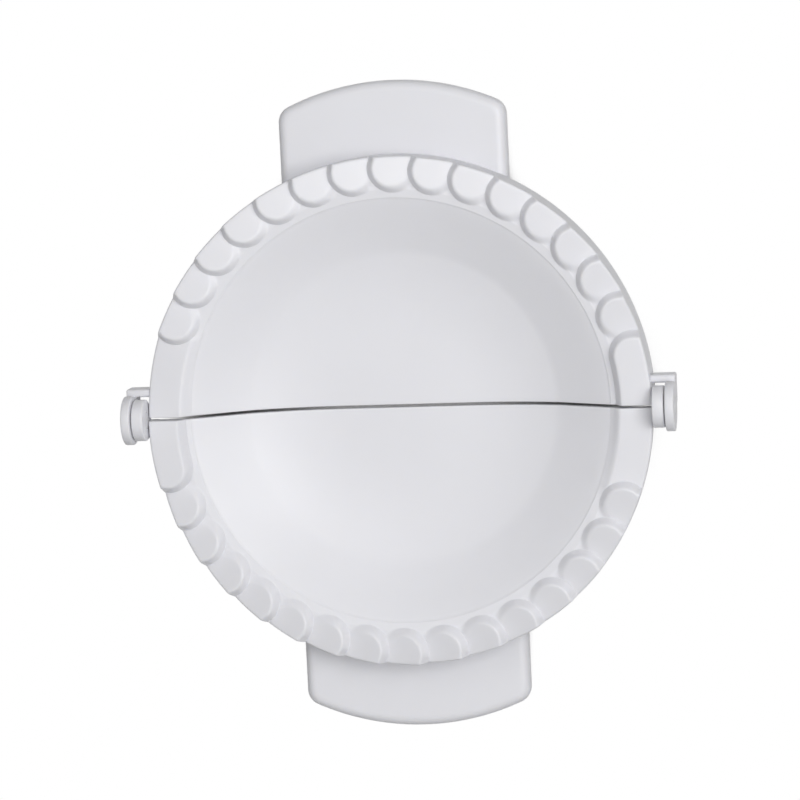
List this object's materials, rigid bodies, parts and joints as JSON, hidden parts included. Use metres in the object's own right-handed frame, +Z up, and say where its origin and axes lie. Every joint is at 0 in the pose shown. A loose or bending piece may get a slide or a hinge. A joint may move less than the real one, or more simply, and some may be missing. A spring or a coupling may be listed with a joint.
{
  "type": "empanada press",
  "caption": "Folding hand press with hinged half bowls, overlapping crimping leaves round the rim and a flat handle on each half, shown opened out flat.",
  "frame": {"origin": "on the surface the open press stands on, under the middle of the hinge", "axes": "+X along the hinge to the right, +Y to the upper half's handle, +Z up out of the open bowls"},
  "size_m": [0.1652, 0.1954, 0.0273],
  "materials": {
    "press_halves": "moulded white polypropylene, glossy",
    "hinge_pins": "moulded white polypropylene, semi-gloss"
  },
  "bodies": {
    "lower_half": {"lower_half": "press_halves", "left_hinge_pin": "hinge_pins", "right_hinge_pin": "hinge_pins"},
    "upper_half": {"upper_half": "press_halves"}
  },
  "joints": [
    {"name": "hinge", "type": "hinge", "parent": "lower_half", "child": "upper_half", "pos_m": [0, 0, 0.02], "axis": [1, 0, 0], "range_deg": [0, 180]}
  ]
}
